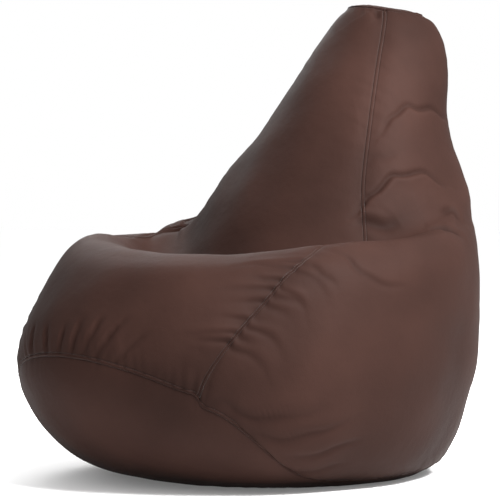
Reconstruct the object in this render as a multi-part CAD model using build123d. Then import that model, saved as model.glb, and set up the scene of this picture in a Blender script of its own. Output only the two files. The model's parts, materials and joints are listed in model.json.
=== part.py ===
from build123d import *
import math
import os

# High-backed bean bag chair: a pear-shaped cover of four gores, a round base panel and a small
# top cap, with a loose inner liner bag full of polystyrene beads and a zip in a rear seam.
# Millimetres. The origin is on the floor under the middle of the chair, +Z is up, the sitter
# faces -Y and the sitter's left hand is on +X.

# --- driving dimensions -------------------------------------------------------------------
COVER_THICKNESS = 1.5
LINER_THICKNESS = 1.0
LAYER_GAP = 0.6             # air between cover and liner, and between liner and beads

# The bag as a stack of oval stations, from the floor contact patch up to the flat top. Each
# oval runs from a front point (y, z) to a rear point (y, z) and has a half width across the
# chair. The stations swing back over the front rim, down into the seat hollow and up the back.
STATIONS = [
    ("contact", (-250, 0), (350, 0), 290),
    ("roll", (-352, 26), (385, 26), 355),
    ("low", (-428, 75), (405, 75), 402),
    ("under", (-480, 140), (423, 140), 432),
    ("belly", (-503, 220), (446, 220), 450),
    ("lap", (-490, 300), (457, 300), 450),
    ("girth", (-455, 365), (461, 365), 445),
    ("shoulder", (-410, 418), (464, 420), 434),
    ("rim_outside", (-365, 446), (467, 460), 415),
    ("rim", (-315, 458), (471, 500), 386),
    ("rim_inside", (-250, 441), (475, 532), 354),
    ("hollow", (-165, 378), (479, 604), 320),
    ("lumbar", (-95, 408), (479, 640), 287),
    ("back_low", (-8, 555), (476, 690), 241),
    ("back_mid", (85, 690), (471, 766), 195),
    ("back_high", (172, 815), (465, 852), 151),
    ("neck", (252, 918), (452, 921), 109),
    ("top", (290, 962), (440, 950), 78),
]

# Base seam: a plane that slopes down from the front to the floor, then a low band round the rear
BASE_SLOPE = 0.71           # rise per millimetre forward
BASE_TOE_Y = -130           # where the sloping plane meets the floor
BASE_BAND_Z = 12            # the base panel turns up this far round the sides and rear

# Front seams: outlines of (distance from the middle line, height), seen along the seam's own
# direction, which is turned outward from the middle line by FRONT_SEAM_TURN
FRONT_SEAM_TURN = 33        # degrees
FRONT_SEAM = [(-196, -10), (214, 455), (222, 1000)]

# Rear seams: half width of the back panel against height, seen from behind
REAR_SEAM = [(300, -10), (325, 230), (322, 420), (300, 505), (262, 556), (197, 661), (89, 920),
             (70, 1000)]
REAR_SPLIT = [(-10, 440, 150), (440, 600, 290), (600, 1000, 350)]     # from z, to z, behind y
CAP_SEAM_Z = 936            # the top cap closes the bag above this height

# Zip in the sitter's right rear seam
ZIP_LENGTH = 270
ZIP_FOOT_Z = 666            # heights where the zip's line meets the bag's surface
ZIP_HEAD_Z = 900
ZIP_WINDOW = 12             # opening between the two panels, across the zip
ZIP_DEPTH = 4.8             # how far the chain's middle lies below the cover's outside
ZIP_TAPE_WIDTH = 6.5
ZIP_TAPE_THICKNESS = 0.7
COIL_WIDTH = 2.4
COIL_THICKNESS = 2.2
COIL_GAP = 1.4              # slot between the two coils that the slider's web runs in
SLIDER_LENGTH = 12
SLIDER_WIDTH = 9.5
SLIDER_PLATE = 1.2
SLIDER_WEB = 0.8
SLIDER_CLEARANCE = 0.4
CROWN_WIDTH = 3.0
CROWN_HEIGHT = 5.6
PULL_PIN = 0.8              # radius of the pull tab's pin in the crown
PULL_LENGTH = 30
PULL_WIDTH = 8
PULL_THICKNESS = 1.4
STOP_LENGTH = 3.5
COIL_CORNER = 0.7
COIL_END = STOP_LENGTH + 0.2    # the coils stop just short of each end stop
CROWN_LENGTH = 6.6
CROWN_ROOT = 0.4            # how far the crown sinks into the slider's plate
PIN_CLEARANCE = 0.3
PULL_TAIL = 1.2             # the tab reaches this far past its pin
SLIDER_DECK = COIL_THICKNESS / 2 + SLIDER_CLEARANCE + SLIDER_PLATE
PULL_AXIS = SLIDER_DECK + CROWN_HEIGHT - 1.7     # high enough for the tab to lie over the cover
SLIDER_PARK = ZIP_LENGTH - STOP_LENGTH - SLIDER_LENGTH / 2 - 0.5
TAPE_ROOM = 0.3             # clear space kept around the tapes under the cover's edges
POCKET_DEPTH = 4            # the liner is pressed in this far below the chain's middle
POCKET_WIDTH = 28

# Filling zip of the liner, across its back panel
LINER_ZIP_LENGTH = 260
LINER_ZIP_HEIGHT = 24
LINER_ZIP_Z = 330

FAR = 900                   # larger than the chair, for cutting tools


# --- the bag's surface --------------------------------------------------------------------
def unit(a, b):
    length = math.hypot(a, b)
    return a / length, b / length


def inset_stations(depth, floor):
    """The stations moved into the bag by depth, each along its own profile's normal."""
    last = len(STATIONS) - 1
    inset = []
    for i, (name, front, rear, half) in enumerate(STATIONS):
        lower, upper = STATIONS[max(i - 1, 0)], STATIONS[min(i + 1, last)]
        front_run, front_rise = unit(upper[1][0] - lower[1][0], upper[1][1] - lower[1][1])
        rear_rise = unit(upper[2][0] - lower[2][0], upper[2][1] - lower[2][1])[1]
        middle_rise = (upper[1][1] + upper[2][1] - lower[1][1] - lower[2][1]) / 2
        side_run, side_rise = unit(upper[3] - lower[3], middle_rise)
        new_front = (front[0] + depth * front_rise, front[1] - depth * front_run)
        # the rear wall is steep, so the rear point's height is free to level the sides
        new_middle = (front[1] + rear[1]) / 2 + depth * side_run
        new_rear = (rear[0] - depth * rear_rise, 2 * new_middle - new_front[1])
        if i == 0:
            new_front, new_rear = (front[0] + depth, floor), (rear[0] - depth, floor)
        if i == last:
            new_front = (front[0] + depth, front[1] - depth)
            new_rear = (rear[0] - depth, rear[1] - depth)
        inset.append((new_front, new_rear, half - depth * side_rise))
    return inset


def bag_solid(depth, floor):
    """The solid inside the bag's surface moved inward by depth, with its bottom at floor."""
    ovals = []
    for front, rear, half in inset_stations(depth, floor):
        run, rise = rear[0] - front[0], rear[1] - front[1]
        length = math.hypot(run, rise)
        middle = ((front[0] + rear[0]) / 2, (front[1] + rear[1]) / 2)
        plane = Plane(origin=(0, *middle), x_dir=(1, 0, 0), z_dir=(0, -rise / length, run / length))
        ovals.append(plane * Ellipse(half, length / 2))
    return loft(ovals)


# --- tools that cut the bag into panels ---------------------------------------------------
def base_tool():
    """Everything below the base seam."""
    reach = (FAR + BASE_TOE_Y) * BASE_SLOPE
    side_view = make_face(Polyline(
        (-FAR, -FAR), (-FAR, reach), (BASE_TOE_Y - BASE_BAND_Z / BASE_SLOPE, BASE_BAND_Z),
        (FAR, BASE_BAND_Z), (FAR, -FAR), close=True))
    return extrude(Plane.YZ * side_view, FAR, both=True)


def front_seam_tool(side):
    """Everything on the front panel's side of one front seam."""
    turn = math.radians(FRONT_SEAM_TURN)
    along = Vector(-side * math.sin(turn), math.cos(turn), 0)
    across = Vector(side * math.cos(turn), math.sin(turn), 0)
    z_dir = across.cross(Vector(0, 0, 1))
    view = Plane(origin=(0, 0, 0), x_dir=across, z_dir=z_dir)
    low, high = FRONT_SEAM[0][1], FRONT_SEAM[-1][1]
    outline = make_face(Polyline((-FAR * 2, low), *FRONT_SEAM, (-FAR * 2, high), close=True))
    return extrude(view * outline, FAR * 2, both=True)


def rear_tool():
    """Everything between the two rear seams, behind the middle of the bag."""
    left = [(x, z) for x, z in REAR_SEAM]
    right = [(-x, z) for x, z in reversed(REAR_SEAM)]
    outline = make_face(Polyline(*left, *right, close=True))
    rear_view = Plane(origin=(0, 0, 0), x_dir=(1, 0, 0), z_dir=(0, -1, 0))
    prism = extrude(rear_view * outline, -FAR)
    behind = [
        Pos(0, y + FAR / 2, (low + high) / 2) * Box(FAR, FAR, high - low)
        for low, high, y in REAR_SPLIT]
    return prism & (behind[0] + behind[1:])


def split_panels(shell):
    """Cut one closed shell into its base, cap and four gores."""
    base_cut = base_tool()
    front_cut = front_seam_tool(1) & front_seam_tool(-1)
    rear_cut = rear_tool()
    cap_cut = Pos(0, 0, CAP_SEAM_Z + FAR / 2) * Box(2 * FAR, 2 * FAR, FAR)
    left_cut = Pos(FAR, 0, 0) * Box(2 * FAR, 4 * FAR, 4 * FAR)
    wall = shell - base_cut - cap_cut
    sides = wall - front_cut - rear_cut
    return {
        "base_panel": shell & base_cut,
        "top_cap": shell & cap_cut,
        "front_panel": wall & front_cut,
        "back_panel": wall & rear_cut,
        "left_panel": sides & left_cut,
        "right_panel": sides - left_cut,
    }


# --- where the zip lies -------------------------------------------------------------------
def rear_seam_x(z):
    for (x0, z0), (x1, z1) in zip(REAR_SEAM, REAR_SEAM[1:]):
        if z0 <= z <= z1:
            return x0 + (x1 - x0) * (z - z0) / (z1 - z0)


def surface_hit(bag, z):
    """Where the sitter's right rear seam meets the bag's outside at height z."""
    x = -rear_seam_x(z)
    hits = bag.find_intersection_points(Axis((x, FAR, z), (0, -1, 0)))
    return max((point for point, _ in hits), key=lambda p: p.Y)


def zip_frame(bag):
    """Plane at the zip's foot: its X runs up the zip and its Z points out of the cover."""
    foot = surface_hit(bag, ZIP_FOOT_Z)
    head = surface_hit(bag, ZIP_HEAD_Z)
    along = (head - foot).normalized()
    side = max(bag.faces(), key=lambda f: f.area)
    outward = side.normal_at((foot + head) * 0.5)
    outward = (outward - along * outward.dot(along)).normalized()
    return Plane(origin=foot - outward * ZIP_DEPTH, x_dir=along, z_dir=outward)


def zip_box(start, end, low, high, bottom, top):
    """A box in the zip's own frame, from its three pairs of limits."""
    size = Box(end - start, high - low, top - bottom)
    return Pos((start + end) / 2, (low + high) / 2, (bottom + top) / 2) * size


# --- zip parts, in the zip's own frame ----------------------------------------------------
def zip_tape(side):
    inner = COIL_GAP / 2 + COIL_WIDTH
    low, high = sorted((side * inner, side * (inner + ZIP_TAPE_WIDTH)))
    return zip_box(0, ZIP_LENGTH, low, high, -ZIP_TAPE_THICKNESS / 2, ZIP_TAPE_THICKNESS / 2)


def zip_coil(side):
    middle = side * (COIL_GAP + COIL_WIDTH) / 2
    section = Pos(middle, 0) * RectangleRounded(COIL_WIDTH, COIL_THICKNESS, COIL_CORNER)
    return Pos(COIL_END, 0, 0) * extrude(Plane.YZ * section, ZIP_LENGTH - 2 * COIL_END)


def zip_slider():
    """Two plates joined by a web between the coils, with a pierced crown for the pull."""
    half_gap = COIL_THICKNESS / 2 + SLIDER_CLEARANCE
    plate = extrude(RectangleRounded(SLIDER_LENGTH, SLIDER_WIDTH, 2.0), SLIDER_PLATE)
    web = Box(SLIDER_LENGTH - 4, SLIDER_WEB, 2 * half_gap + SLIDER_PLATE)
    crown_outline = Pos(0, SLIDER_DECK + (CROWN_HEIGHT - CROWN_ROOT) / 2) * RectangleRounded(
        CROWN_LENGTH, CROWN_HEIGHT + CROWN_ROOT, 1.2)
    eye = Pos(0, PULL_AXIS) * Circle(PULL_PIN + PIN_CLEARANCE)
    crown = extrude(Plane.XZ * (crown_outline - eye), CROWN_WIDTH / 2, both=True)
    return Pos(0, 0, half_gap) * plate + Pos(0, 0, -SLIDER_DECK) * plate + web + crown


def zip_pull():
    """Tab that hangs toward the zip's foot from a pin through the slider's crown."""
    fork = CROWN_WIDTH / 2 + PIN_CLEARANCE
    blank = Pos(PULL_TAIL - PULL_LENGTH / 2, 0) * RectangleRounded(PULL_LENGTH, PULL_WIDTH, 1.2)
    slot = Rectangle(CROWN_LENGTH + 1.6, 2 * fork)
    finger_hole = Pos(PULL_TAIL - PULL_LENGTH + 6, 0) * SlotOverall(6, 3)
    tab = extrude(blank - slot - finger_hole, PULL_THICKNESS / 2, both=True)
    pin = Cylinder(PULL_PIN, 2 * fork + 0.6, rotation=(90, 0, 0))
    return Pos(0, 0, PULL_AXIS) * (tab + pin)


def end_stop(x):
    """A small clamp pressed over both coils at one end of the zip."""
    reach = COIL_GAP / 2 + COIL_WIDTH
    outside = Box(STOP_LENGTH, 2 * reach, COIL_THICKNESS + 1.0)
    return Pos(x, 0, 0) * outside


# --- assembly -----------------------------------------------------------------------------
COVER_INSIDE = COVER_THICKNESS
LINER_OUTSIDE = COVER_INSIDE + LAYER_GAP
LINER_INSIDE = LINER_OUTSIDE + LINER_THICKNESS
FILL_OUTSIDE = LINER_INSIDE + LAYER_GAP

nodes = {}
bag = bag_solid(0, 0)
zip_plane = zip_frame(bag)


def zip_pocket(growth):
    """The hollow that the zip presses into the layers behind it."""
    half = POCKET_WIDTH / 2 + growth
    return zip_plane * zip_box(-12 - growth, ZIP_LENGTH + 12 + growth, -half, half,
                               -POCKET_DEPTH - growth, 20)


# Cover: six panels with a window for the zip between two of them
cover = bag - bag_solid(COVER_INSIDE, COVER_THICKNESS)
window = zip_plane * zip_box(0, ZIP_LENGTH, -ZIP_WINDOW / 2, ZIP_WINDOW / 2, -20, 20)
tape_reach = COIL_GAP / 2 + COIL_WIDTH + ZIP_TAPE_WIDTH + TAPE_ROOM
tape_level = ZIP_TAPE_THICKNESS / 2 + TAPE_ROOM
tape_room = zip_plane * zip_box(-TAPE_ROOM, ZIP_LENGTH + TAPE_ROOM, -tape_reach, tape_reach,
                                -tape_level, tape_level)
for name, panel in split_panels(cover).items():
    nodes["cover_" + name] = panel
for name in ("cover_back_panel", "cover_right_panel"):
    nodes[name] = nodes[name] - window - tape_room

# Liner: six panels and its own zip, pressed in behind the cover's zip
liner_floor = COVER_THICKNESS
fill_floor = COVER_THICKNESS + LINER_THICKNESS
liner_outer = bag_solid(LINER_OUTSIDE, liner_floor) - zip_pocket(0)
liner_inner = bag_solid(LINER_INSIDE, fill_floor) - zip_pocket(LINER_THICKNESS)
for name, panel in split_panels(liner_outer - liner_inner).items():
    nodes["liner_" + name] = panel
liner_zip_box = Pos(0, FAR / 2, LINER_ZIP_Z) * Box(LINER_ZIP_LENGTH, FAR, LINER_ZIP_HEIGHT)
nodes["liner_zip"] = nodes["liner_back_panel"] & liner_zip_box
nodes["liner_back_panel"] = nodes["liner_back_panel"] - liner_zip_box

# Filling
nodes["bead_fill"] = bag_solid(FILL_OUTSIDE, fill_floor) - zip_pocket(
    LINER_THICKNESS + LAYER_GAP)

# Zip, closed, with its slider at the head
for side, hand in ((-1, "left"), (1, "right")):
    nodes["zip_tape_" + hand] = zip_plane * zip_tape(side)
    nodes["zip_coil_" + hand] = zip_plane * zip_coil(side)
nodes["zip_bottom_stop"] = zip_plane * end_stop(STOP_LENGTH / 2)
nodes["zip_top_stop"] = zip_plane * end_stop(ZIP_LENGTH - STOP_LENGTH / 2)
nodes["zip_slider"] = zip_plane * Pos(SLIDER_PARK, 0, 0) * zip_slider()
nodes["zip_pull_tab"] = zip_plane * Pos(SLIDER_PARK, 0, 0) * zip_pull()

os.makedirs("parts", exist_ok=True)
for name, shape in nodes.items():
    export_step(shape, f"parts/{name}.step")
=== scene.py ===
"""Looks of the bean bag chair: sewn cover panels, topstitching, zip, liner, beads and the studio."""
import json
import math

import bmesh
import bpy
import numpy as np
from mathutils import Matrix, Vector


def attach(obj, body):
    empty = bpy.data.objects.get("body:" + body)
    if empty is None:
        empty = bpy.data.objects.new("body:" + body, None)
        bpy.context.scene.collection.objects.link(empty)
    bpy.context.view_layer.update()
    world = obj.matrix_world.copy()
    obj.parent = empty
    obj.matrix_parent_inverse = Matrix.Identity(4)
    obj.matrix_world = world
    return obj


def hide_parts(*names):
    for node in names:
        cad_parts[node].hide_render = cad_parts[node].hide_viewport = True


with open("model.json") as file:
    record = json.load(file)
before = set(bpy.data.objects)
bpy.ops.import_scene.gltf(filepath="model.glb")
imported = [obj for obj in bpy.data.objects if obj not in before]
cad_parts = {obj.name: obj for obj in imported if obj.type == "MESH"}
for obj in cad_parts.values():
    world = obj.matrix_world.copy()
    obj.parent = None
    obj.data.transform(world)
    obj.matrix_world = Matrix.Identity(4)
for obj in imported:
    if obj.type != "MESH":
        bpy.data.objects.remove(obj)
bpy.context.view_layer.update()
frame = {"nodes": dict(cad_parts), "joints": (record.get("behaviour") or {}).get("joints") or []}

# --- shape of the bag, metres and degrees -------------------------------------------------
# Oval stations from the floor up: front (y, z), rear (y, z), half width
STATIONS = np.array([
    (-0.250, 0.000, 0.350, 0.000, 0.290),
    (-0.352, 0.026, 0.385, 0.026, 0.355),
    (-0.428, 0.075, 0.405, 0.075, 0.402),
    (-0.480, 0.140, 0.423, 0.140, 0.432),
    (-0.503, 0.220, 0.446, 0.220, 0.450),
    (-0.490, 0.300, 0.457, 0.300, 0.450),
    (-0.455, 0.365, 0.461, 0.365, 0.445),
    (-0.410, 0.418, 0.464, 0.420, 0.434),
    (-0.365, 0.446, 0.467, 0.460, 0.415),
    (-0.315, 0.458, 0.471, 0.500, 0.386),
    (-0.250, 0.441, 0.475, 0.532, 0.354),
    (-0.165, 0.378, 0.479, 0.604, 0.320),
    (-0.095, 0.408, 0.479, 0.640, 0.287),
    (-0.008, 0.555, 0.476, 0.690, 0.241),
    (0.085, 0.690, 0.471, 0.766, 0.195),
    (0.172, 0.815, 0.465, 0.852, 0.151),
    (0.252, 0.918, 0.452, 0.921, 0.109),
    (0.290, 0.962, 0.440, 0.950, 0.078),
])
# Azimuth of each front and rear seam at every station, 0 at the front, toward the sitter's left
FRONT_TRACK = np.array(
    [36, 36, 36.5, 37, 40, 45.5, 50, 53, 56, 58.5, 61, 63, 62, 57, 54, 51, 47, 45])
REAR_TRACK = np.array(
    [136, 136, 135, 135, 134, 134, 133, 132, 130, 128, 126, 125, 125, 125, 126, 127, 126, 125])
# The rear seam on the sitter's left runs further round; the one on the right holds the zip
REAR_LEFT_SHIFT = np.array([2, 2, 3, 4, 5, 6, 8, 9, 11, 13, 15, 16, 16, 16, 15, 14, 15, 16])
BASE_SLOPE, BASE_TOE_Y, BASE_BAND_Z = 0.71, -0.130, 0.012
CAP_STATION = 17.0

PANELS = ("front", "left", "back", "right")
SEAM_OFFSETS = np.array([0, 0.7, 1.5, 2.5, 3.5, 4.5, 6.0, 8.0, 11.0, 15.0]) / 1000
PANEL_COLUMNS = {"front": 110, "left": 100, "back": 90, "right": 100}
BASE_ROWS, WALL_ROWS, CAP_ROWS = 50, 300, 16
STITCH_OFFSET = 0.0035
COVER_THICKNESS = 0.0015

# Unevenness seen in plan: azimuth, its spread, station, its spread and outward push
BULGES = (
    (125, 45, 15.3, 1.6, 0.021),
    (-66, 30, 13.1, 0.8, 0.028),
    (-42, 40, 15.9, 1.2, 0.006),
    (-42, 35, 6.3, 1.6, -0.012),
    (-42, 35, 2.6, 1.2, -0.010),
    (138, 30, 6.0, 3.0, -0.007),
    (138, 30, 13.6, 0.9, -0.010),
)


def spline_rows(table, t):
    """Rows of a table at fractional row numbers, along a smooth curve through them all."""
    table = table.reshape(len(table), -1)
    padded = np.vstack([2 * table[0] - table[1], table, 2 * table[-1] - table[-2]])
    t = np.clip(t, 0, len(table) - 1 - 1e-9)
    i = t.astype(int)
    f = (t - i)[:, None]
    a, b, c, d = padded[i], padded[i + 1], padded[i + 2], padded[i + 3]
    return 0.5 * (2 * b + (c - a) * f + (2 * a - 5 * b + 4 * c - d) * f ** 2
                  + (3 * b - a - 3 * c + d) * f ** 3)


def hump(x, centre, width):
    return np.exp(-((x - centre) / width) ** 2)


def bag_points(azimuth, station):
    """Points of the smooth bag at azimuths (rows, columns) and stations (rows)."""
    last = len(STATIONS) - 1
    below = np.clip(station + 1, 0, 1)[:, None]             # base: radial, centre at station -1
    above = np.clip(last + 1 - station, 0, 1)[:, None]      # top: radial, centre at last + 1
    front_y, front_z, rear_y, rear_z, half = (c[:, None] for c in spline_rows(STATIONS, station).T)
    u = np.radians(azimuth)
    reach = below * above
    y = (front_y + rear_y) / 2 - (rear_y - front_y) / 2 * np.cos(u) * reach
    z = (front_z + rear_z) / 2 - (rear_z - front_z) / 2 * np.cos(u) * reach
    z = z + 0.010 * (1 - above ** 2)
    x = half * np.sin(u) * reach
    v = station[:, None]
    around = (azimuth + 180) % 360 - 180
    for centre, width, level, rows, push in BULGES:
        amount = push * hump(around, centre, width) * hump(v, level, rows)
        x = x + amount * np.sin(u)
        y = y - amount * np.cos(u)
    # the sitter's right front corner stands a little prouder and the front left one sags
    z = z + 0.021 * hump(around, -42, 26) * hump(v, 8.6, 1.6)
    z = z - 0.010 * hump(around, 25, 30) * hump(v, 9.0, 2.0)
    # the top leans, high toward the sitter's right
    lean = 0.007 * hump(around, -25, 50) - 0.002 * hump(around, 110, 60)
    z = z + lean * hump(v, 17.3, 1.2) * np.clip(18 - v, 0, 1)
    # a full roll of filling beside the backrest on the sitter's right
    bulge = 0.072 * hump(around, -66, 20) * hump(v, 11.35, 1.0)
    x = x - bulge * 0.8
    z = z + bulge * 0.7
    return np.stack([x, y, np.maximum(z, 0)], -1)


# --- the grid of the cover: rows up the bag, columns round it, both packed close at seams --
def spread(length, count, offsets):
    """Positions from 0 to length with the offsets repeated from both ends."""
    inner = np.linspace(offsets[-1], length - offsets[-1], count - 2 * len(offsets) + 2)
    return np.concatenate([offsets[:-1], inner, length - offsets[:-1][::-1]])


def column_azimuths(station):
    """Azimuth of every column at each station, and each column's panel."""
    front = spline_rows(FRONT_TRACK.astype(float), station)[:, 0]
    rear = spline_rows(REAR_TRACK.astype(float), station)[:, 0]
    left = rear + spline_rows(REAR_LEFT_SHIFT.astype(float), station)[:, 0]
    shape = spline_rows(STATIONS, station)
    radius = (shape[:, 4] + (shape[:, 2] - shape[:, 0]) / 2) / 2
    starts = {"front": -front, "left": front, "back": left, "right": 360 - rear}
    ends = {"front": front, "left": left, "back": 360 - rear, "right": 360 - front}
    rows = []
    for s in range(len(station)):
        line = []
        for panel in PANELS:
            a, b = starts[panel][s], ends[panel][s]
            length = math.radians(b - a) * radius[s]
            places = spread(length, PANEL_COLUMNS[panel], SEAM_OFFSETS)[:-1]
            line.append(a + np.degrees(places / radius[s]))
        rows.append(np.concatenate(line))
    return np.array(rows)


def smooth_ring(values, width):
    """Round a closed list of numbers off with a running mean."""
    kernel = np.hanning(2 * width + 1)
    kernel /= kernel.sum()
    wrapped = np.concatenate([values[-width:], values, values[:width]])
    return np.convolve(wrapped, kernel, mode="valid")


def build_grid():
    """Grid points (rows, columns), their azimuths and stations."""
    last = len(STATIONS) - 1
    station = np.concatenate([
        np.linspace(-1, 0, 60, endpoint=False), np.linspace(0, last, 900, endpoint=False),
        np.linspace(last, last + 1, 20)])
    azimuth = column_azimuths(station)
    path = bag_points(azimuth, station)
    steps = np.linalg.norm(np.diff(path, axis=0), axis=-1)
    run = np.vstack([np.zeros(path.shape[1]), np.cumsum(steps, axis=0)])
    seam_height = np.maximum(BASE_SLOPE * (BASE_TOE_Y - path[..., 1]), BASE_BAND_Z)
    above_seam = (path[..., 2] > seam_height) & (station[:, None] > 0)
    columns = np.arange(path.shape[1])
    base_end = smooth_ring(run[np.argmax(above_seam, axis=0), columns], 14)
    cap_start = run[np.searchsorted(station, CAP_STATION)]
    grid = {"points": [], "azimuth": [], "station": []}
    for c in columns:
        end = run[-1, c]
        base = np.linspace(0, base_end[c] - SEAM_OFFSETS[-1], BASE_ROWS - len(SEAM_OFFSETS) + 1)
        base = np.concatenate([base, base_end[c] - SEAM_OFFSETS[:-1][::-1]])
        wall = spread(cap_start[c] - base_end[c], WALL_ROWS, SEAM_OFFSETS) + base_end[c]
        cap = spread(end - cap_start[c], CAP_ROWS, SEAM_OFFSETS[:5] * 1.6) + cap_start[c]
        places = np.concatenate([base, wall[1:], cap[1:]])
        point = [np.interp(places, run[:, c], path[:, c, k]) for k in range(3)]
        grid["points"].append(np.stack(point, -1))
        grid["azimuth"].append(np.interp(places, run[:, c], azimuth[:, c]))
        grid["station"].append(np.interp(places, run[:, c], station))
    return {name: np.stack(values, 1) for name, values in grid.items()}


def grid_normals(points):
    """Outward unit normals of a grid that is closed round its columns."""
    along_columns = np.roll(points, -1, axis=1) - np.roll(points, 1, axis=1)
    along_rows = np.gradient(points, axis=0)
    normals = np.cross(along_columns, along_rows)
    length = np.linalg.norm(normals, axis=-1, keepdims=True)
    normals = normals / np.maximum(length, 1e-12)
    normals[0] = (0, 0, -1)
    normals[-1] = normals[-2].mean(0)
    return normals



# --- where things are in the grid ---------------------------------------------------------
def panel_span(panel):
    """First and last column of a panel; the last is the next panel's first."""
    first = sum(PANEL_COLUMNS[name] - 1 for name in PANELS[:PANELS.index(panel)])
    return first, first + PANEL_COLUMNS[panel] - 1


COLUMNS = sum(count - 1 for count in PANEL_COLUMNS.values())
SEAM_COLUMNS = [panel_span(panel)[0] for panel in PANELS]
BASE_SEAM_ROW = BASE_ROWS - 1
CAP_SEAM_ROW = BASE_SEAM_ROW + WALL_ROWS - 1
STITCH_STEP = int(np.argmin(abs(SEAM_OFFSETS - STITCH_OFFSET)))


def running_length(points, axis):
    steps = np.linalg.norm(np.diff(points, axis=axis), axis=-1)
    pad = [(0, 0), (0, 0)]
    pad[axis] = (1, 0)
    return np.cumsum(np.pad(steps, pad), axis=axis)


def seam_fields(points):
    """For every seam: each grid point's distance from it and the place along it."""
    up = running_length(points, 0)
    fields = []
    rows = np.arange(points.shape[0])[:, None]
    on_wall = (rows >= BASE_SEAM_ROW) & (rows <= CAP_SEAM_ROW)
    for column in SEAM_COLUMNS:
        distance = np.linalg.norm(points - points[:, column:column + 1], axis=-1)
        distance = np.where(on_wall, distance, 1.0)
        side = (np.arange(COLUMNS) - column + COLUMNS // 2) % COLUMNS - COLUMNS // 2
        along = np.broadcast_to(up[:, column:column + 1], distance.shape)
        fields.append({"distance": distance, "along": along,
                       "side": np.broadcast_to(np.sign(side), distance.shape)})
    around = running_length(points, 1)
    for row in (BASE_SEAM_ROW, CAP_SEAM_ROW):
        distance = abs(up - up[row:row + 1])
        along = np.broadcast_to(around[row:row + 1], distance.shape)
        fields.append({"distance": distance, "along": along, "side": np.sign(up - up[row:row + 1])})
    return fields


# --- folds, puckers and seams as displacements along the surface's normal ------------------
def seam_profile(distance):
    """Valley at the seam, a groove under each row of topstitching, and the pull-in around."""
    groove = 0.0005 * np.exp(-(distance / 0.0006) ** 2)
    welt = 0.0014 * np.exp(-(distance / 0.0026) ** 2)
    stitched = 0.0015 * np.exp(-((distance - STITCH_OFFSET) / 0.0010) ** 2)
    pulled = 0.0026 * np.exp(-(distance / 0.018) ** 2)
    return welt - groove - stitched - pulled


def puckers(field, places, strength, reach, width, seed):
    """Short gathers that cross a seam, each at its own place, length and lean."""
    rng = np.random.default_rng(seed)
    distance, along, side = field["distance"], field["along"], field["side"]
    out = np.zeros_like(distance)
    near = distance < reach * 2.2
    d, s, k = distance[near], along[near], side[near]
    total = np.zeros_like(d)
    for place in places:
        lean = rng.uniform(-0.35, 0.35) + np.where(k < 0, 0.25, -0.45)
        span = reach * rng.uniform(0.45, 1.15)
        thick = width * rng.uniform(0.7, 1.3)
        depth = strength(place) * rng.uniform(0.4, 1.0)
        only = rng.choice([-1, 0, 0, 1])
        offset = s - place - lean * d
        fade = np.exp(-(d / span) ** 2) * np.where(only * k < 0, 0.25, 1.0)
        valley = np.exp(-(offset / thick) ** 2)
        ridge = np.exp(-((offset - 2.0 * thick) / (1.3 * thick)) ** 2)
        total += depth * fade * (0.7 * ridge - valley)
    out[near] = total
    return out


def path_distance(points, path):
    """Distance to a path of points, the share of the way along it, and the side of it."""
    best = np.full(points.shape[:-1], 9.0)
    share = np.zeros_like(best)
    side = np.zeros_like(best)
    lengths = np.linalg.norm(np.diff(path, axis=0), axis=-1)
    starts = np.concatenate([[0], np.cumsum(lengths)]) / lengths.sum()
    middle = path.mean(0)
    for i, (a, b) in enumerate(zip(path, path[1:])):
        t = np.clip(((points - a) @ (b - a)) / ((b - a) @ (b - a)), 0, 1)
        gap = points - (a + t[..., None] * (b - a))
        distance = np.linalg.norm(gap, axis=-1)
        closer = distance < best
        best = np.where(closer, distance, best)
        share = np.where(closer, starts[i] + t * (starts[i + 1] - starts[i]), share)
        outward = middle - np.array([0, 0.05, middle[2]])
        hand = np.sign(np.cross(b - a, gap) @ outward)
        side = np.where(closer, hand, side)
    return best, share, side


ROLL_REACH = 4.5            # how far a roll of cloth fades out, in widths of its crease


def fold(points, azimuths, stations, depth, width, roll):
    """A crease along a line of (azimuth, station) points, with a roll of cloth beside it."""
    count = 24
    t = np.linspace(0, len(azimuths) - 1, count)
    azimuth = spline_rows(np.array(azimuths, float), t)
    station = spline_rows(np.array(stations, float), t)[:, 0]
    station += 0.035 * np.sin(t * 4.1 + azimuths[0])
    path = np.array([bag_points(azimuth[i:i + 1], station[i:i + 1])[0, 0] for i in range(count)])
    distance, share, side = path_distance(points, path)
    ends = np.sin(np.pi * np.clip(share, 0.02, 0.98)) ** 0.6
    crease = -depth * np.exp(-(distance / width) ** 2)
    signed = distance * side * math.copysign(1, roll)
    beside = np.maximum(signed, 0) / width
    crown = abs(roll) * (1 - np.exp(-beside ** 2)) * np.exp(-beside / ROLL_REACH)
    return ends * (crease + crown)


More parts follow.
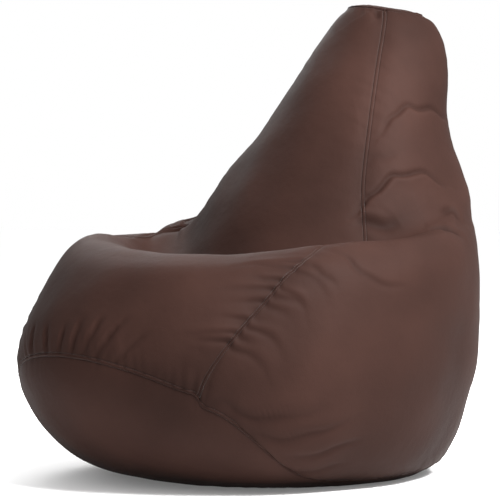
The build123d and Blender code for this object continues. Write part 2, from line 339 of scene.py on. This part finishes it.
# Creases seen from the front left, each as azimuths, stations, depth, width and roll (metres);
# a positive roll lies on the left of the line's direction, seen from outside
FOLDS = [
    # left panel of the backrest: two folds that hang from the seam like curtains
    ((62, 68, 76, 88, 104, 122), (13.8, 14.08, 14.2, 14.15, 14.0, 13.7), 0.0045, 0.0065, -0.007),
    ((54, 60, 67, 75, 90, 106), (12.55, 12.72, 12.9, 12.98, 12.85, 12.4), 0.0060, 0.0065, -0.011),
    ((55, 65, 77), (12.48, 12.3, 12.15), 0.0080, 0.0150, 0.0),
    ((56, 64, 74), (13.35, 13.4, 13.35), 0.0020, 0.0100, -0.001),
    # where the front rim runs into the backrest
    ((92, 102, 112), (10.9, 10.2, 8.9), 0.010, 0.012, 0.004),
    ((100, 108, 114), (11.6, 11.3, 10.2), 0.005, 0.009, 0.003),
    # front rim beside the seam, down over the left panel
    ((60, 66, 71, 77, 86), (8.5, 7.8, 7.05, 6.6, 6.4), 0.0028, 0.0070, 0.003),
    ((57, 61, 66), (7.5, 7.0, 6.5), 0.0030, 0.0070, 0.002),
    # neck and top
    ((30, 34, 40), (16.9, 16.6, 16.3), 0.006, 0.008, 0.004),
    # roll of filling on the sitter's right of the hollow
    ((-56, -60, -61), (12.9, 12.1, 11.2), 0.008, 0.008, 0.006),
    ((-68, -70, -70), (12.7, 12.0, 11.2), 0.006, 0.008, -0.005),
    ((-89, -80, -70), (9.4, 10.2, 10.9), 0.004, 0.014, 0.002),
    ((-100, -90, -78), (9.8, 10.6, 11.3), 0.003, 0.013, 0.002),
    ((-60, -66, -74, -84), (13.9, 13.3, 12.6, 11.8), 0.005, 0.010, 0.003),
    # gathers above the base seam at the front
    ((-14, -18), (4.50, 5.20), 0.0045, 0.0042, 0.002),
    ((-6, -9), (4.50, 5.25), 0.0055, 0.0042, 0.002),
    ((0, -1), (4.50, 5.30), 0.0050, 0.0040, 0.002),
    ((4, 5), (4.50, 5.45), 0.0060, 0.0042, 0.003),
    ((8, 11), (4.50, 5.55), 0.0065, 0.0045, 0.003),
    ((12, 18), (4.45, 5.50), 0.0055, 0.0045, 0.002),
    ((17, 25), (4.35, 5.10), 0.0035, 0.0045, 0.001),
    # lower left, where the base seam turns under
    ((44, 50, 58, 68), (3.55, 3.25, 3.2, 3.45), 0.0040, 0.0075, 0.003),
    ((51, 58, 66, 74), (2.75, 2.65, 2.8, 3.05), 0.0045, 0.0075, 0.004),
    ((55, 62, 70, 78), (2.0, 2.05, 2.25, 2.5), 0.0040, 0.0070, 0.003),
    ((58, 66, 74), (1.4, 1.5, 1.7), 0.0035, 0.0070, 0.002),
]


def drift(points, wave, size, seed):
    """Slow unevenness of a filled bag: a few crossing waves."""
    rng = np.random.default_rng(seed)
    total = np.zeros(points.shape[:-1])
    for _ in range(9):
        direction = rng.normal(size=3)
        direction /= np.linalg.norm(direction)
        length = wave * rng.uniform(0.7, 1.5)
        total += np.sin(points @ direction * 2 * math.pi / length + rng.uniform(0, 6.28))
    return size * total / 3


def gathers(field, front_hand, strength, places, seed):
    """Long soft wrinkles that run off a seam on both sides, like drawn cloth."""
    rng = np.random.default_rng(seed)
    distance, along, side = field["distance"], field["along"], field["side"]
    near = distance < 0.16
    d, s, k = distance[near], along[near], side[near]
    total = np.zeros_like(d)
    for place in places:
        for hand in (-1, 1):
            span = rng.uniform(0.035, 0.090)
            lean = rng.uniform(-0.18, 0.18) + (-0.50 if hand == front_hand else 0.05)
            curve = rng.uniform(-2.0, 2.0)
            offset = s - place - rng.uniform(-0.006, 0.006) - lean * d - curve * d ** 2
            thick = rng.uniform(0.0045, 0.0075) + 0.035 * d
            depth = strength * rng.uniform(0.55, 1.0) * np.exp(-(d / span) ** 3)
            valley = np.exp(-(offset / thick) ** 2)
            ridge = np.exp(-((offset - 2.1 * thick) / (1.5 * thick)) ** 2)
            total += np.where(k * hand > 0, depth * (0.8 * ridge - valley), 0)
    out = np.zeros_like(distance)
    out[near] = total
    return out


def regular_places(start, end, spacing, seed):
    rng = np.random.default_rng(seed)
    places = np.arange(start, end, spacing)
    return places + rng.uniform(-0.35, 0.35, len(places)) * spacing


def soft_normals(normals, reach):
    """Normals averaged up and down each column, so a push at a sharp edge can't cross over."""
    padded = np.pad(normals, ((reach, reach), (0, 0), (0, 0)), mode="edge")
    rows = normals.shape[0]
    total = sum(padded[i:i + rows] for i in range(2 * reach + 1))
    return total / np.linalg.norm(total, axis=-1, keepdims=True)


def displaced_grid(grid):
    """The bag's grid with its unevenness, folds, puckers and seams worked in."""
    points = grid["points"]
    normals = soft_normals(grid_normals(points), 6)
    fields = seam_fields(points)
    out = drift(points, 0.30, 0.0030, 3) + drift(points, 0.11, 0.0009, 4)
    for azimuths, stations, depth, width, roll in FOLDS:
        out += fold(points, azimuths, stations, depth, width, roll)
    column_strengths = (
        lambda s: 0.0007 + 0.0020 * hump(s, 0.78, 0.24),
        lambda s: 0.0007,
        lambda s: 0.0009,
        lambda s: 0.0009,
    )
    for i, field in enumerate(fields):
        out += seam_profile(field["distance"])
        start, end = field["along"].min(), field["along"].max()
        if i < 4:
            places = regular_places(start, end, 0.031, 20 + i)
            out += puckers(field, places, column_strengths[i], 0.058, 0.0085, 30 + i)
    foot = [field["along"][BASE_SEAM_ROW, 0] for field in fields[:2]]
    out += gathers(fields[1], -1, 0.0029, regular_places(foot[1] + 0.12, foot[1] + 0.36, 0.030, 60), 61)
    out += gathers(fields[0], 1, 0.0030, regular_places(foot[0] + 0.08, foot[0] + 0.34, 0.028, 62), 63)
    base = fields[4]
    places = regular_places(0, base["along"].max(), 0.020, 40)
    pleat = puckers(base, places, lambda s: 0.0022, 0.055, 0.0050, 41)
    out += pleat * np.where(base["side"] < 0, 0.25, 1.0)
    cap = fields[5]
    places = regular_places(0, cap["along"].max(), 0.022, 50)
    out += puckers(cap, places, lambda s: 0.0016, 0.030, 0.0060, 51)
    on_floor = np.clip(points[..., 2] / 0.02, 0, 1)
    moved = points + normals * (out * on_floor)[..., None]
    moved[..., 2] = np.maximum(moved[..., 2], 0.0)
    return moved, fields, out


# --- meshes -------------------------------------------------------------------------------
def add_object(name, vertices, faces, material, smooth=True):
    mesh = bpy.data.meshes.new(name)
    mesh.from_pydata([tuple(v) for v in vertices], [], faces)
    mesh.materials.append(material)
    mesh.polygons.foreach_set("use_smooth", [smooth] * len(mesh.polygons))
    mesh.update()
    piece = bpy.data.objects.new(name, mesh)
    bpy.context.scene.collection.objects.link(piece)
    return piece


def grid_faces(rows, columns):
    index = np.arange(rows * columns).reshape(rows, columns)
    corners = [index[:-1, :-1], index[:-1, 1:], index[1:, 1:], index[1:, :-1]]
    return np.stack(corners, -1).reshape(-1, 4).tolist()


def cut_region(array, rows, columns):
    """A block of the grid, wrapping round its columns."""
    picked = np.arange(columns[0], columns[1] + 1) % array.shape[1]
    return array[rows[0]:rows[1] + 1][:, picked]


def add_panel(name, points, tone, material):
    rows, columns = points.shape[:2]
    panel = add_object(name, points.reshape(-1, 3), grid_faces(rows, columns), material)
    # the fold_shade attribute carries painted shade: darker where the cover is pushed in, paler where it
    # bulges
    shade = panel.data.attributes.new("fold_shade", "FLOAT", "POINT")
    shade.data.foreach_set("value", tone.reshape(-1).astype(np.float32))
    shell = panel.modifiers.new("thickness", "SOLIDIFY")
    shell.thickness = COVER_THICKNESS
    shell.offset = -1
    return panel


def finish_piece(piece, body, nodes=()):
    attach(piece, body)
    if nodes:
        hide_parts(*nodes)


# --- the zip's own frame: along it upward, across it, and out of the cover -----------------
SLIDER_PARK, PULL_AXIS_HEIGHT, ZIP_LENGTH = 0.260, 0.0066, 0.270
TAPE_INNER = 0.0031
COIL_MIDDLE, COIL_HALF_WIDTH, COIL_HALF_HEIGHT = 0.0019, 0.0014, 0.0009
ZIP_OPENING, ZIP_DEPTH = 0.0052, 0.0048


def zip_axes():
    joints = {joint["name"]: joint for joint in frame["joints"]}
    along = -np.array(joints["zip_slide"]["axis"])
    across = np.array(joints["pull_hinge"]["axis"])
    outward = np.cross(along, across)
    pin = np.array(joints["pull_hinge"]["pos_m"])
    foot = pin - along * SLIDER_PARK - outward * PULL_AXIS_HEIGHT
    return foot, np.array([along, across, outward])


def from_zip(local):
    foot, axes = zip_axes()
    return foot + np.asarray(local) @ axes


def to_zip(points):
    foot, axes = zip_axes()
    return (points - foot) @ axes.T


def smooth_step(x, start, end):
    t = np.clip((x - start) / (end - start), 0, 1)
    return t * t * (3 - 2 * t)


def seat_zip(points):
    """Lays the cover level beside the zip, so that its edges can lie along the tapes."""
    local = to_zip(points)
    u, v, w = local[..., 0], local[..., 1], local[..., 2]
    beyond = np.maximum(np.maximum(-u, u - ZIP_LENGTH), 0)
    reach = np.sqrt((beyond * 0.9) ** 2 + v ** 2)
    blend = (1 - smooth_step(reach, 0.024, 0.064)) * (abs(w) < 0.06)
    flat = ZIP_DEPTH - 0.2 * np.maximum(abs(v) - 0.02, 0) - 0.08 * beyond
    local[..., 2] = w + (flat - w) * blend
    return from_zip(local)


def open_zip(panel, side):
    """Turns a panel's edge under along the zip; side is -1 or 1 across the zip."""
    local = to_zip(panel)
    u, v = local[..., 0], local[..., 1]
    inside = smooth_step(u, -0.004, 0.006) * (1 - smooth_step(u, ZIP_LENGTH - 0.006, ZIP_LENGTH + 0.004))
    offset = np.linalg.norm(panel - (panel[:, :1] if side > 0 else panel[:, -1:]), axis=-1)
    near = offset < 0.016
    pushed = side * (ZIP_OPENING + offset * (1 - ZIP_OPENING / 0.016))
    rolled = -(ZIP_DEPTH - 0.0012) * np.exp(-(offset / 0.0017) ** 2)
    local[..., 1] = np.where(near, v + (pushed - v) * inside, v)
    local[..., 2] += np.where(near, rolled * inside, 0)
    return from_zip(local)


LINER_INSET, LINER_THICKNESS, BEADS_INSET = 0.0100, 0.0008, 0.0035
# How far the liner's own zip moves forward into the bag, so that the cover hides it
LINER_ZIP_INSET = 0.0078


# --- materials ----------------------------------------------------------------------------
def new_material(name, colour, roughness, metallic=0.0):
    material = bpy.data.materials.new(name)
    material.use_nodes = True
    shader = material.node_tree.nodes["Principled BSDF"]
    shader.inputs["Base Color"].default_value = (*colour, 1)
    shader.inputs["Roughness"].default_value = roughness
    shader.inputs["Metallic"].default_value = metallic
    return material, shader


def add_node(material, kind, **values):
    node = material.node_tree.nodes.new(kind)
    for name, value in values.items():
        if name in node.inputs:
            node.inputs[name].default_value = value
        else:
            setattr(node, name, value)
    return node


def link(material, source, output, target, socket):
    material.node_tree.links.new(source.outputs[output], target.inputs[socket])


def noise(material, coordinates, scale, detail=3.0):
    node = add_node(material, "ShaderNodeTexNoise", Scale=scale, Detail=detail)
    link(material, coordinates, "Object", node, "Vector")
    return node


def ramp(material, source, output, low, high, dark, light):
    node = add_node(material, "ShaderNodeMapRange")
    node.inputs["From Min"].default_value = low
    node.inputs["From Max"].default_value = high
    node.inputs["To Min"].default_value = dark
    node.inputs["To Max"].default_value = light
    link(material, source, output, node, "Value")
    return node


def multiply(material, first, first_output, second, second_output):
    node = add_node(material, "ShaderNodeMath", operation="MULTIPLY")
    link(material, first, first_output, node, 0)
    link(material, second, second_output, node, 1)
    return node


COVER_BROWN = (0.0158, 0.0074, 0.0058)


def leather_material():
    """Matt coated cloth: fine pebble grain, cloudy tone, painted shade darker in creases and seams, and
    painted light paler on bulges.
    """
    material, shader = new_material("faux_leather", COVER_BROWN, 0.50)
    coordinates = add_node(material, "ShaderNodeTexCoord")
    cloud = noise(material, coordinates, 6.0, 5.0)
    cloud_tone = ramp(material, cloud, "Fac", 0.3, 0.7, 0.88, 1.12)
    # painted shade and light: the cover's push in or out darkens creases, seams and hollows and pales
    # bulges
    shade = add_node(material, "ShaderNodeAttribute", attribute_name="fold_shade")
    shade_tone = ramp(material, shade, "Fac", -0.008, 0.004, 0.66, 1.08)
    tone = multiply(material, cloud_tone, "Result", shade_tone, "Result")
    colour = add_node(material, "ShaderNodeHueSaturation")
    colour.inputs["Color"].default_value = (*COVER_BROWN, 1)
    link(material, tone, "Value", colour, "Value")
    link(material, colour, "Color", shader, "Base Color")
    grain = add_node(material, "ShaderNodeTexVoronoi", Scale=620.0, feature="SMOOTH_F1")
    link(material, coordinates, "Object", grain, "Vector")
    fine = noise(material, coordinates, 900.0, 2.0)
    bump = add_node(material, "ShaderNodeBump", Strength=0.35, Distance=0.0006)
    link(material, grain, "Distance", bump, "Height")
    wavy = noise(material, coordinates, 46.0, 5.0)
    second = add_node(material, "ShaderNodeBump", Strength=0.35, Distance=0.0025)
    link(material, wavy, "Fac", second, "Height")
    link(material, bump, "Normal", second, "Normal")
    link(material, second, "Normal", shader, "Normal")
    rough = ramp(material, fine, "Fac", 0.3, 0.7, 0.58, 0.74)
    link(material, rough, "Result", shader, "Roughness")
    shader.inputs["IOR"].default_value = 1.09
    return material


def cloth_material(name, colour, weave):
    """Plain woven cloth: crossed threads as two wave patterns."""
    material, shader = new_material(name, colour, 0.85)
    coordinates = add_node(material, "ShaderNodeTexCoord")
    threads = [add_node(material, "ShaderNodeTexWave", Scale=weave, bands_direction=way)
               for way in ("X", "Z")]
    for wave in threads:
        link(material, coordinates, "Object", wave, "Vector")
    crossed = multiply(material, threads[0], "Fac", threads[1], "Fac")
    bump = add_node(material, "ShaderNodeBump", Strength=0.5, Distance=0.0003)
    link(material, crossed, "Value", bump, "Height")
    link(material, bump, "Normal", shader, "Normal")
    return material


def bead_material():
    """Packed white foam beads."""
    material, shader = new_material("foam_beads", (0.82, 0.82, 0.80), 0.6)
    coordinates = add_node(material, "ShaderNodeTexCoord")
    cells = add_node(material, "ShaderNodeTexVoronoi", Scale=280.0)
    link(material, coordinates, "Object", cells, "Vector")
    tone = ramp(material, cells, "Distance", 0.0, 0.8, 1.0, 0.45)
    bump = add_node(material, "ShaderNodeBump", Strength=1.0, Distance=0.0015)
    link(material, tone, "Result", bump, "Height")
    link(material, bump, "Normal", shader, "Normal")
    return material


def thread_material():
    material, shader = new_material("thread", (0.0125, 0.0058, 0.0046), 0.80)
    coordinates = add_node(material, "ShaderNodeTexCoord")
    twist = noise(material, coordinates, 1800.0, 1.0)
    bump = add_node(material, "ShaderNodeBump", Strength=0.5, Distance=0.0002)
    link(material, twist, "Fac", bump, "Height")
    link(material, bump, "Normal", shader, "Normal")
    shader.inputs["Sheen Weight"].default_value = 0.3
    shader.inputs["IOR"].default_value = 1.15
    return material


def nylon_material():
    material, shader = new_material("zip_nylon", (0.030, 0.017, 0.014), 0.42)
    coordinates = add_node(material, "ShaderNodeTexCoord")
    speck = noise(material, coordinates, 1500.0, 2.0)
    rough = ramp(material, speck, "Fac", 0.3, 0.7, 0.34, 0.52)
    link(material, rough, "Result", shader, "Roughness")
    return material


def metal_material():
    """Dark painted die-cast metal with a little wear."""
    material, shader = new_material("zip_metal", (0.060, 0.048, 0.043), 0.35, 0.85)
    coordinates = add_node(material, "ShaderNodeTexCoord")
    wear = noise(material, coordinates, 700.0, 4.0)
    rough = ramp(material, wear, "Fac", 0.3, 0.7, 0.25, 0.50)
    link(material, rough, "Result", shader, "Roughness")
    return material


# --- stitches -----------------------------------------------------------------------------
STITCH_LENGTH, STITCH_GAP, THREAD_RADIUS = 0.0040, 0.0009, 0.00042
STITCH_RINGS = np.array([-0.5, -0.42, -0.2, 0.2, 0.42, 0.5])
STITCH_HEIGHTS = np.array([-0.9, -0.1, 0.55, 0.55, -0.1, -0.9])
STITCH_WIDTHS = np.array([0.35, 0.85, 1.0, 1.0, 0.85, 0.35])
STITCH_SIDES = 6


def stitch_row(points, normals, closed):
    """Vertices and faces of a row of stitches along a line on the cover."""
    if closed:
        points = np.vstack([points, points[:1]])
        normals = np.vstack([normals, normals[:1]])
    steps = np.linalg.norm(np.diff(points, axis=0), axis=-1)
    run = np.concatenate([[0], np.cumsum(steps)])
    count = int(run[-1] / (STITCH_LENGTH + STITCH_GAP))
    centres = (np.arange(count) + 0.5) * run[-1] / count
    angles = np.arange(STITCH_SIDES) * 2 * math.pi / STITCH_SIDES
    vertices, faces = [], []
    for centre in centres:
        first = len(vertices) * STITCH_SIDES
        for share, height, width in zip(STITCH_RINGS, STITCH_HEIGHTS, STITCH_WIDTHS):
            place = centre + share * STITCH_LENGTH
            point = np.array([np.interp(place, run, points[:, k]) for k in range(3)])
            ahead = np.array([np.interp(place + 0.001, run, points[:, k]) for k in range(3)])
            behind = np.array([np.interp(place - 0.001, run, points[:, k]) for k in range(3)])
            normal = np.array([np.interp(place, run, normals[:, k]) for k in range(3)])
            tangent = ahead - behind
            across = np.cross(normal, tangent)
            across /= max(np.linalg.norm(across), 1e-9)
            middle = point + normal * height * THREAD_RADIUS
            ring = np.outer(np.cos(angles), across) + np.outer(np.sin(angles), normal)
            vertices.append(middle + ring * THREAD_RADIUS * width)
        for r in range(len(STITCH_RINGS) - 1):
            for k in range(STITCH_SIDES):
                a = first + r * STITCH_SIDES + k
                b = first + r * STITCH_SIDES + (k + 1) % STITCH_SIDES
                faces.append((a, a + STITCH_SIDES, b + STITCH_SIDES, b))
        last = first + (len(STITCH_RINGS) - 1) * STITCH_SIDES
        faces.append(tuple(range(first, first + STITCH_SIDES)))
        faces.append(tuple(reversed(range(last, last + STITCH_SIDES))))
    return np.concatenate(vertices), faces


def add_stitches(name, rows, material):
    vertices, faces = [], []
    for row_points, row_normals, closed in rows:
        v, f = stitch_row(row_points, row_normals, closed)
        shift = sum(len(part) for part in vertices)
        vertices.append(v)
        faces += [tuple(i + shift for i in face) for face in f]
    stitches = add_object(name, np.concatenate(vertices), faces, material)
    finish_piece(stitches, "bag")
    return stitches


# --- zip ----------------------------------------------------------------------------------
def tube(path, radius, sides):
    """A closed-ended tube of round section along a path."""
    tangents = np.gradient(path, axis=0)
    tangents /= np.linalg.norm(tangents, axis=-1, keepdims=True)
    side = np.cross(tangents, [0.3, 0.2, 0.93])
    side /= np.linalg.norm(side, axis=-1, keepdims=True)
    other = np.cross(tangents, side)
    angles = np.arange(sides) * 2 * math.pi / sides
    rings = path[:, None] + radius * (np.cos(angles)[None, :, None] * side[:, None]
                                      + np.sin(angles)[None, :, None] * other[:, None])
    index = np.arange(len(path) * sides).reshape(len(path), sides)
    ahead = np.roll(index, -1, axis=1)
    faces = np.stack([index[:-1], ahead[:-1], ahead[1:], index[1:]], -1).reshape(-1, 4).tolist()
    faces += [tuple(index[0][::-1]), tuple(index[-1])]
    return rings.reshape(-1, 3), faces


def add_coil(side, material):
    """One side of the coil: a flattened nylon spiral, half a pitch out of step with the other."""
    pitch, wire, end = 0.0020, 0.00042, 0.0025
    turns = (ZIP_LENGTH - 2 * end) / pitch
    angle = np.arange(0, turns * 2 * math.pi, math.pi / 7)
    shift = pitch / 2 if side > 0 else 0
    u = end + shift + angle / (2 * math.pi) * pitch
    v = side * (COIL_MIDDLE + COIL_HALF_WIDTH * np.cos(angle))
    w = COIL_HALF_HEIGHT * np.sin(angle)
    keep = u < ZIP_LENGTH - end
    path = from_zip(np.stack([u, v, w], -1)[keep])
    vertices, faces = tube(path, wire, 6)
    name = "left" if side < 0 else "right"
    coil = add_object("looks_zip_coil_" + name, vertices, faces, material)
    finish_piece(coil, "bag", ["zip_coil_" + name])


def add_tape(side, material):
    """Woven tape beside the coil, with a thick cord edge where the coil is sewn on."""
    u = np.linspace(0, ZIP_LENGTH, 200)
    v = np.array([0, 0.1, 0.3, 0.5, 1.0, 2.5, 4.5, 6.3, 6.5]) / 1000 + TAPE_INNER - 0.0010
    top = np.array([0.0, 0.55, 0.75, 0.60, 0.35, 0.35, 0.35, 0.30, 0.0]) / 1000
    grid_u, grid_v = np.meshgrid(u, v, indexing="ij")
    ripple = 0.00004 * np.sin(grid_u * 2 * math.pi / 0.0011)
    upper = np.stack([grid_u, side * grid_v, top + ripple], -1)
    lower = np.stack([grid_u, side * grid_v, -top - ripple], -1)[:, ::-1]
    loop = np.concatenate([upper, lower[:, 1:-1]], axis=1)
    rows, columns = loop.shape[:2]
    index = np.arange(rows * columns).reshape(rows, columns)
    ahead = np.roll(index, -1, axis=1)
    faces = np.stack([index[:-1], index[1:], ahead[1:], ahead[:-1]], -1).reshape(-1, 4).tolist()
    faces += [tuple(index[0]), tuple(index[-1][::-1])]
    if side < 0:
        faces = [tuple(reversed(face)) for face in faces]
    name = "left" if side < 0 else "right"
    tape = add_object("looks_zip_tape_" + name, from_zip(loop).reshape(-1, 3), faces, material)
    finish_piece(tape, "bag", ["zip_tape_" + name])


def bevelled_copy(node, body, material, width):
    """The CAD shape of a small hard part with rounded edges and its own finish."""
    source = frame["nodes"][node]
    piece = bpy.data.objects.new("looks_" + node, source.data.copy())
    piece.matrix_world = source.matrix_world.copy()
    bpy.context.scene.collection.objects.link(piece)
    piece.data.materials.clear()
    piece.data.materials.append(material)
    shape = bmesh.new()
    shape.from_mesh(piece.data)
    bmesh.ops.remove_doubles(shape, verts=shape.verts, dist=1e-6)
    bmesh.ops.dissolve_limit(shape, angle_limit=0.02, verts=shape.verts, edges=shape.edges)
    shape.to_mesh(piece.data)
    shape.free()
    bevel = piece.modifiers.new("soft_edges", "BEVEL")
    bevel.width = width
    bevel.segments = 3
    bevel.limit_method = "ANGLE"
    bevel.angle_limit = math.radians(40)
    piece.data.shade_smooth()
    normal = piece.modifiers.new("normals", "WEIGHTED_NORMAL")
    normal.keep_sharp = True
    finish_piece(piece, body, [node])
    return piece


# --- studio -------------------------------------------------------------------------------
def add_studio():
    """Pale round floor, wide enough to meet the white surroundings out of sight."""
    turns = np.linspace(0, 2 * math.pi, 97)[:-1]
    radii = np.array([0.0, 1.0, 3.0, 10.0, 40.0])
    rings = np.stack([np.outer(radii, np.cos(turns)), np.outer(radii, np.sin(turns)),
                      np.zeros((len(radii), len(turns)))], -1)
    index = np.arange(rings.shape[0] * rings.shape[1]).reshape(rings.shape[:2])
    ahead = np.roll(index, -1, axis=1)
    faces = np.stack([index[:-1], index[1:], ahead[1:], ahead[:-1]], -1).reshape(-1, 4).tolist()
    material, shader = new_material("studio", (0.88, 0.88, 0.88), 0.9)
    shader.inputs["Emission Color"].default_value = (1, 1, 1, 1)
    shader.inputs["Emission Strength"].default_value = 0.12
    shader.inputs["Specular IOR Level"].default_value = 0.1
    floor = add_object("studio_floor", rings.reshape(-1, 3), faces, material)


def add_light(name, azimuth, elevation, distance, size, power):
    """Square soft light at an azimuth from the front, toward the sitter's left, aimed at the bag."""
    a, e = math.radians(azimuth), math.radians(elevation)
    direction = Vector((math.sin(a) * math.cos(e), -math.cos(a) * math.cos(e), math.sin(e)))
    light = bpy.data.lights.new(name, "AREA")
    light.size = size
    light.energy = power
    lamp = bpy.data.objects.new(name, light)
    lamp.location = Vector((0, 0, 0.4)) + direction * distance
    lamp.rotation_euler = direction.to_track_quat("Z", "Y").to_euler()
    bpy.context.scene.collection.objects.link(lamp)


def add_camera():
    """Eye at the photograph's angle: front left of the sitter and a little above the floor."""
    azimuth, elevation, distance = math.radians(48), math.radians(7), 4.5
    camera = bpy.data.cameras.new("camera")
    camera.sensor_width = 36
    camera.lens = 158.1
    eye = bpy.data.objects.new("camera", camera)
    right = Vector((math.cos(azimuth), math.sin(azimuth), 0))
    aim = right * -0.0144 + Vector((0, 0, 0.4517))
    ahead = Vector((math.sin(azimuth) * math.cos(elevation),
                    -math.cos(azimuth) * math.cos(elevation), math.sin(elevation)))
    eye.location = ahead * distance
    eye.rotation_euler = (eye.location - aim).to_track_quat("Z", "Y").to_euler()
    bpy.context.scene.collection.objects.link(eye)
    bpy.context.scene.camera = eye


def add_lights():
    """White surroundings, a soft key and a weaker soft light behind."""
    world = bpy.data.worlds.new("soft_white")
    world.use_nodes = True
    world.node_tree.nodes["Background"].inputs["Color"].default_value = (1, 1, 1, 1)
    world.node_tree.nodes["Background"].inputs["Strength"].default_value = 1.0
    bpy.context.scene.world = world
    # The key stands to the sitter's left; the second, weaker one lifts the back
    add_light("key", 92, 48, 3.2, 1.5, 600)
    add_light("back_fill", 245, 35, 3.6, 1.6, 90)
    scene = bpy.context.scene
    scene.view_settings.view_transform = "Standard"


# --- assembly -----------------------------------------------------------------------------
def weld(piece):
    """Merges the doubled points at the middle of the base or cap."""
    shape = bmesh.new()
    shape.from_mesh(piece.data)
    bmesh.ops.remove_doubles(shape, verts=shape.verts, dist=1e-5)
    shape.to_mesh(piece.data)
    shape.free()


def closed_columns(array):
    return np.concatenate([array, array[:, :1]], axis=1)


def add_cover(points, tone, material):
    """The six cover panels, each a sheet with thickness; returns wall panels as point grids."""
    walls = {}
    for panel in PANELS:
        rows = (BASE_SEAM_ROW, CAP_SEAM_ROW)
        block = cut_region(points, rows, panel_span(panel))
        if panel == "back":
            block = open_zip(block, -1)
        if panel == "right":
            block = open_zip(block, 1)
        walls[panel] = block
        # the panel's painted shade, from the cover's push in or out
        shade = cut_region(tone, rows, panel_span(panel))
        piece = add_panel("looks_cover_" + panel, block, shade, material)
        finish_piece(piece, "bag", [f"cover_{panel}_panel"])
    ends = {"base": (0, BASE_SEAM_ROW), "cap": (CAP_SEAM_ROW, points.shape[0] - 1)}
    for name, (first, last) in ends.items():
        block = closed_columns(points)[first:last + 1]
        shade = closed_columns(tone)[first:last + 1]
        piece = add_panel("looks_cover_" + name, block, shade, material)
        weld(piece)
        node = "cover_base_panel" if name == "base" else "cover_top_cap"
        finish_piece(piece, "bag", [node])
    return walls


def add_all_stitches(walls, points, normals, material):
    """Two rows of topstitching, one on each side of every seam."""
    for i, column in enumerate(SEAM_COLUMNS):
        after = PANELS[i]
        before = PANELS[i - 1]
        rows = []
        for panel, step in ((before, -1 - STITCH_STEP), (after, STITCH_STEP)):
            line = walls[panel][:, step][3:-3]
            index = (column + (STITCH_STEP if panel == after else -STITCH_STEP)) % COLUMNS
            line_normals = normals[BASE_SEAM_ROW:CAP_SEAM_ROW + 1][3:-3, index]
            rows.append((line, line_normals, False))
        add_stitches(f"stitches_{before}_{after}", rows, material)
    for name, row in (("base", BASE_SEAM_ROW), ("cap", CAP_SEAM_ROW)):
        rows = []
        for step in (-STITCH_STEP, STITCH_STEP):
            rows.append((points[row + step], normals[row + step], True))
        add_stitches("stitches_" + name, rows, material)


def lowest_nearby(values, reach):
    """The least value of each grid point's neighbourhood."""
    out = values.copy()
    for axis, wrap in ((0, False), (1, True)):
        best = out.copy()
        for step in range(-reach, reach + 1):
            moved = np.roll(out, step, axis=axis)
            if not wrap and step > 0:
                moved[:step] = out[:1]
            if not wrap and step < 0:
                moved[step:] = out[-1:]
            best = np.minimum(best, moved)
        out = best
    return out


def add_inner_layers(points, normals, out, cloth, beads):
    """Liner panels and bead filling, inset far enough to stay behind every fold."""
    depth = lowest_nearby(np.minimum(out, 0), 5) - LINER_INSET
    inset = points + normals * depth[..., None]
    inset = seat_inside_zip(inset)
    inset[..., 2] = np.maximum(inset[..., 2], 0.0022)
    tone = np.zeros(points.shape[:2])
    for panel in PANELS:
        block = cut_region(inset, (BASE_SEAM_ROW, CAP_SEAM_ROW), panel_span(panel))[::3, ::3]
        piece = add_panel("looks_liner_" + panel, block, tone[:block.shape[0], :block.shape[1]], cloth)
        piece.modifiers["thickness"].thickness = LINER_THICKNESS
        finish_piece(piece, "bag", [f"liner_{panel}_panel"])
    for name, first, last in (("base", 0, BASE_SEAM_ROW), ("cap", CAP_SEAM_ROW, points.shape[0] - 1)):
        block = closed_columns(inset)[first:last + 1, ::3]
        piece = add_panel("looks_liner_" + name, block, tone[:block.shape[0], :block.shape[1]], cloth)
        piece.modifiers["thickness"].thickness = LINER_THICKNESS
        weld(piece)
        node = "liner_base_panel" if name == "base" else "liner_top_cap"
        finish_piece(piece, "bag", [node])
    fill = inset - normals * BEADS_INSET
    fill[..., 2] = np.maximum(fill[..., 2], 0.0040)
    block = closed_columns(fill)[:, ::3]
    piece = add_object("looks_bead_fill", block.reshape(-1, 3), grid_faces(*block.shape[:2]), beads)
    weld(piece)
    finish_piece(piece, "bag", ["bead_fill"])


def seat_inside_zip(points):
    """Keeps the inner layers behind the zip."""
    local = to_zip(points)
    u, v, w = local[..., 0], local[..., 1], local[..., 2]
    beside = (u > -0.03) & (u < ZIP_LENGTH + 0.03) & (abs(v) < 0.03) & (abs(w) < 0.05)
    local[..., 2] = np.where(beside, np.minimum(w, -0.0045), w)
    return from_zip(local)


def build_bag():
    grid = build_grid()
    points, _, out = displaced_grid(grid)
    points = seat_zip(points)
    points[..., 2] = np.maximum(points[..., 2], 0.0)
    normals = grid_normals(points)
    leather = leather_material()
    # the push in or out also colours the cover as painted shade in creases and painted light on bulges
    walls = add_cover(points, out, leather)
    add_all_stitches(walls, points, normals, thread_material())
    smooth_points = grid["points"]
    liner_cloth = cloth_material("liner_cloth", (0.62, 0.60, 0.56), 900.0)
    add_inner_layers(smooth_points, grid_normals(smooth_points), out, liner_cloth, bead_material())


def build_zip():
    nylon = nylon_material()
    metal = metal_material()
    tape = cloth_material("zip_tape_cloth", (0.036, 0.020, 0.017), 700.0)
    for side in (-1, 1):
        add_tape(side, tape)
        add_coil(side, nylon)
    bevelled_copy("zip_top_stop", "bag", metal, 0.0003)
    bevelled_copy("zip_bottom_stop", "bag", metal, 0.0003)
    bevelled_copy("zip_slider", "slider", metal, 0.0002)
    bevelled_copy("zip_pull_tab", "pull", metal, 0.00025)
    liner_zip = bevelled_copy("liner_zip", "bag", tape, 0.0003)
    liner_zip.data.transform(Matrix.Translation((0, -LINER_ZIP_INSET, 0)))


build_bag()
build_zip()
add_studio()
add_lights()
add_camera()
